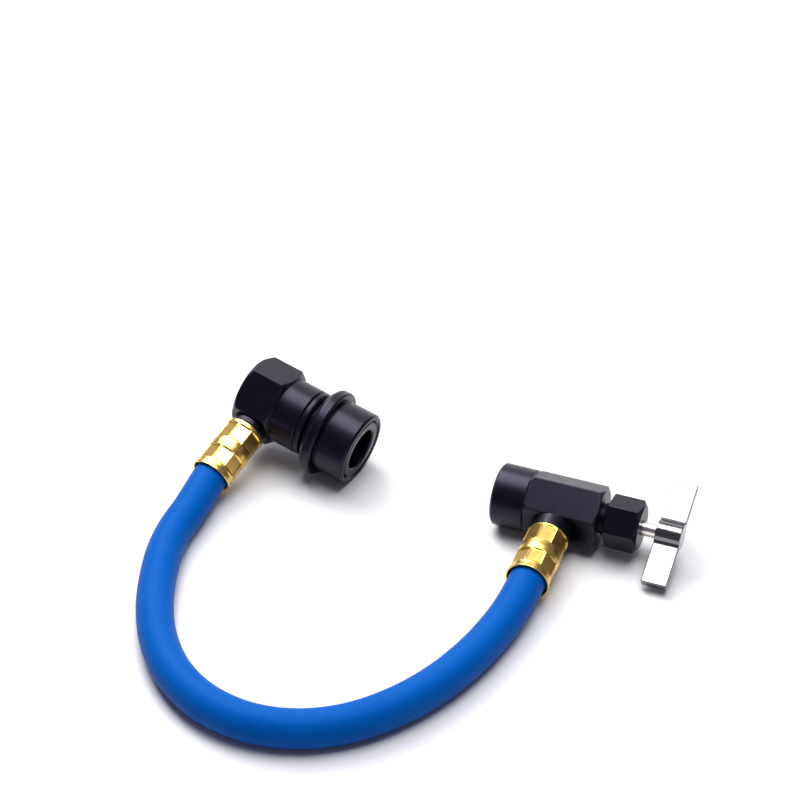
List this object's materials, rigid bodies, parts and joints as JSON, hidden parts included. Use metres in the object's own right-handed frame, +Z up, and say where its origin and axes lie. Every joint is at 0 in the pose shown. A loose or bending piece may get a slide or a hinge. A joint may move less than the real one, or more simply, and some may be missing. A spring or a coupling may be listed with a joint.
{
  "type": "refrigerant charging hose",
  "caption": "Short rubber hose crimped between a sleeved quick coupler and a can tap valve with a threaded socket, packing nut and wing handle, lying in a loop.",
  "frame": {"origin": "on the floor, below the middle of the box round the two end fittings, measured without the hose", "axes": "+X runs along the tap valve's axis, from its can socket towards its wing handle; both hose ports point towards -Y; +Z is up from the floor the part lies on"},
  "size_m": [0.1726, 0.1603, 0.0361],
  "materials": {
    "black_anodised": "satin black anodised with a violet tint",
    "brass": "bright brass, crimped",
    "hose_rubber": "smooth matt blue rubber",
    "seal_rubber": "matt black rubber",
    "stem_steel": "turned bright steel",
    "handle_chrome": "bright plated"
  },
  "bodies": {
    "hose_set": {"coupler_block": "black_anodised", "coupler_core": "black_anodised", "coupler_seal": "seal_rubber", "core_depressor": "stem_steel", "coupler_nipple": "black_anodised", "coupler_ferrule": "brass", "hose": "hose_rubber", "tap_nipple": "black_anodised", "tap_ferrule": "brass", "tap_body": "black_anodised", "can_seal": "seal_rubber", "packing_nut": "black_anodised", "stem_packing": "seal_rubber"},
    "sleeve": {"coupler_sleeve": "black_anodised"},
    "stem": {"valve_stem": "stem_steel"},
    "handle": {"wing_handle": "handle_chrome"}
  },
  "joints": [
    {"name": "sleeve_pull", "type": "slide", "parent": "hose_set", "child": "sleeve", "axis": [-0.9702, 0.1433, 0.1954], "range_m": [0, 0.0018], "stiffness_N_per_m": 1200, "springref_m": -0.003},
    {"name": "stem_travel", "type": "slide", "parent": "hose_set", "child": "stem", "axis": [1, 0, 0], "range_m": [-0.00465, 0.0016]},
    {"name": "handle_turn", "type": "hinge", "parent": "stem", "child": "handle", "pos_m": [0.08097, 0.00688, 0.01162], "axis": [1, 0, 0], "range_deg": [-1692, 594]}
  ],
  "couplings": [
    {"joint": "handle_turn", "follows": "stem_travel", "rad_per_m": 6283.2}
  ]
}
